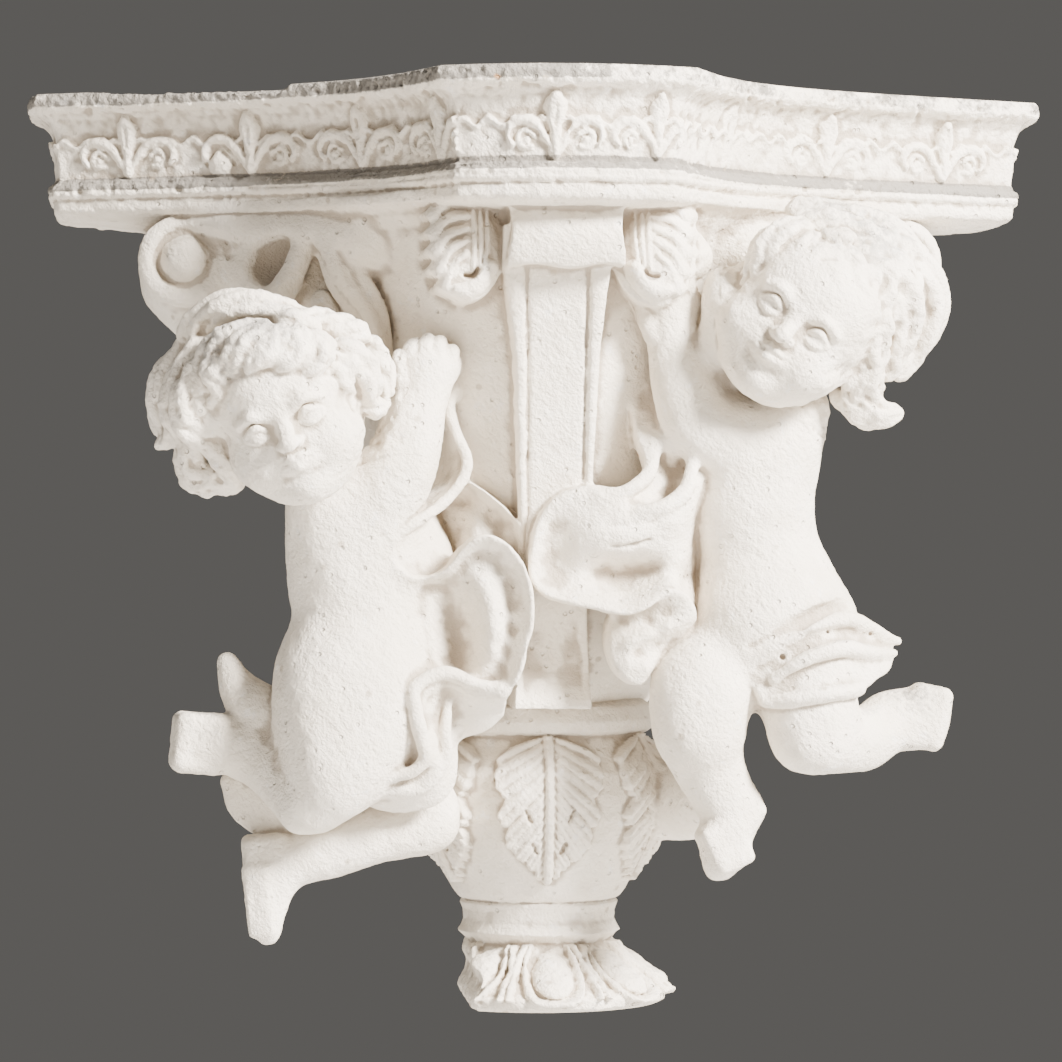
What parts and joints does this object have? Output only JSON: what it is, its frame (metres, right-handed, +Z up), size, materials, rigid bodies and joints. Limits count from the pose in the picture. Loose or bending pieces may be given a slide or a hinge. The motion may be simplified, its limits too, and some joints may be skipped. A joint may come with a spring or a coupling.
{
  "type": "wall bracket",
  "caption": "Plaster wall bracket: a moulded shelf with a hollowed front over a tapering bell, held up by putti in drapery, ending in a leafy urn pendant.",
  "frame": {"origin": "on the flat back where it meets the wall, on the middle line, level with the underside of the shelf", "axes": "+X to the viewer's right along the wall, +Y into the wall, +Z up"},
  "size_m": [0.4198, 0.1996, 0.371],
  "materials": {
    "plaster": "matte"
  },
  "bodies": {
    "root": {"bracket": "plaster"}
  },
  "joints": []
}
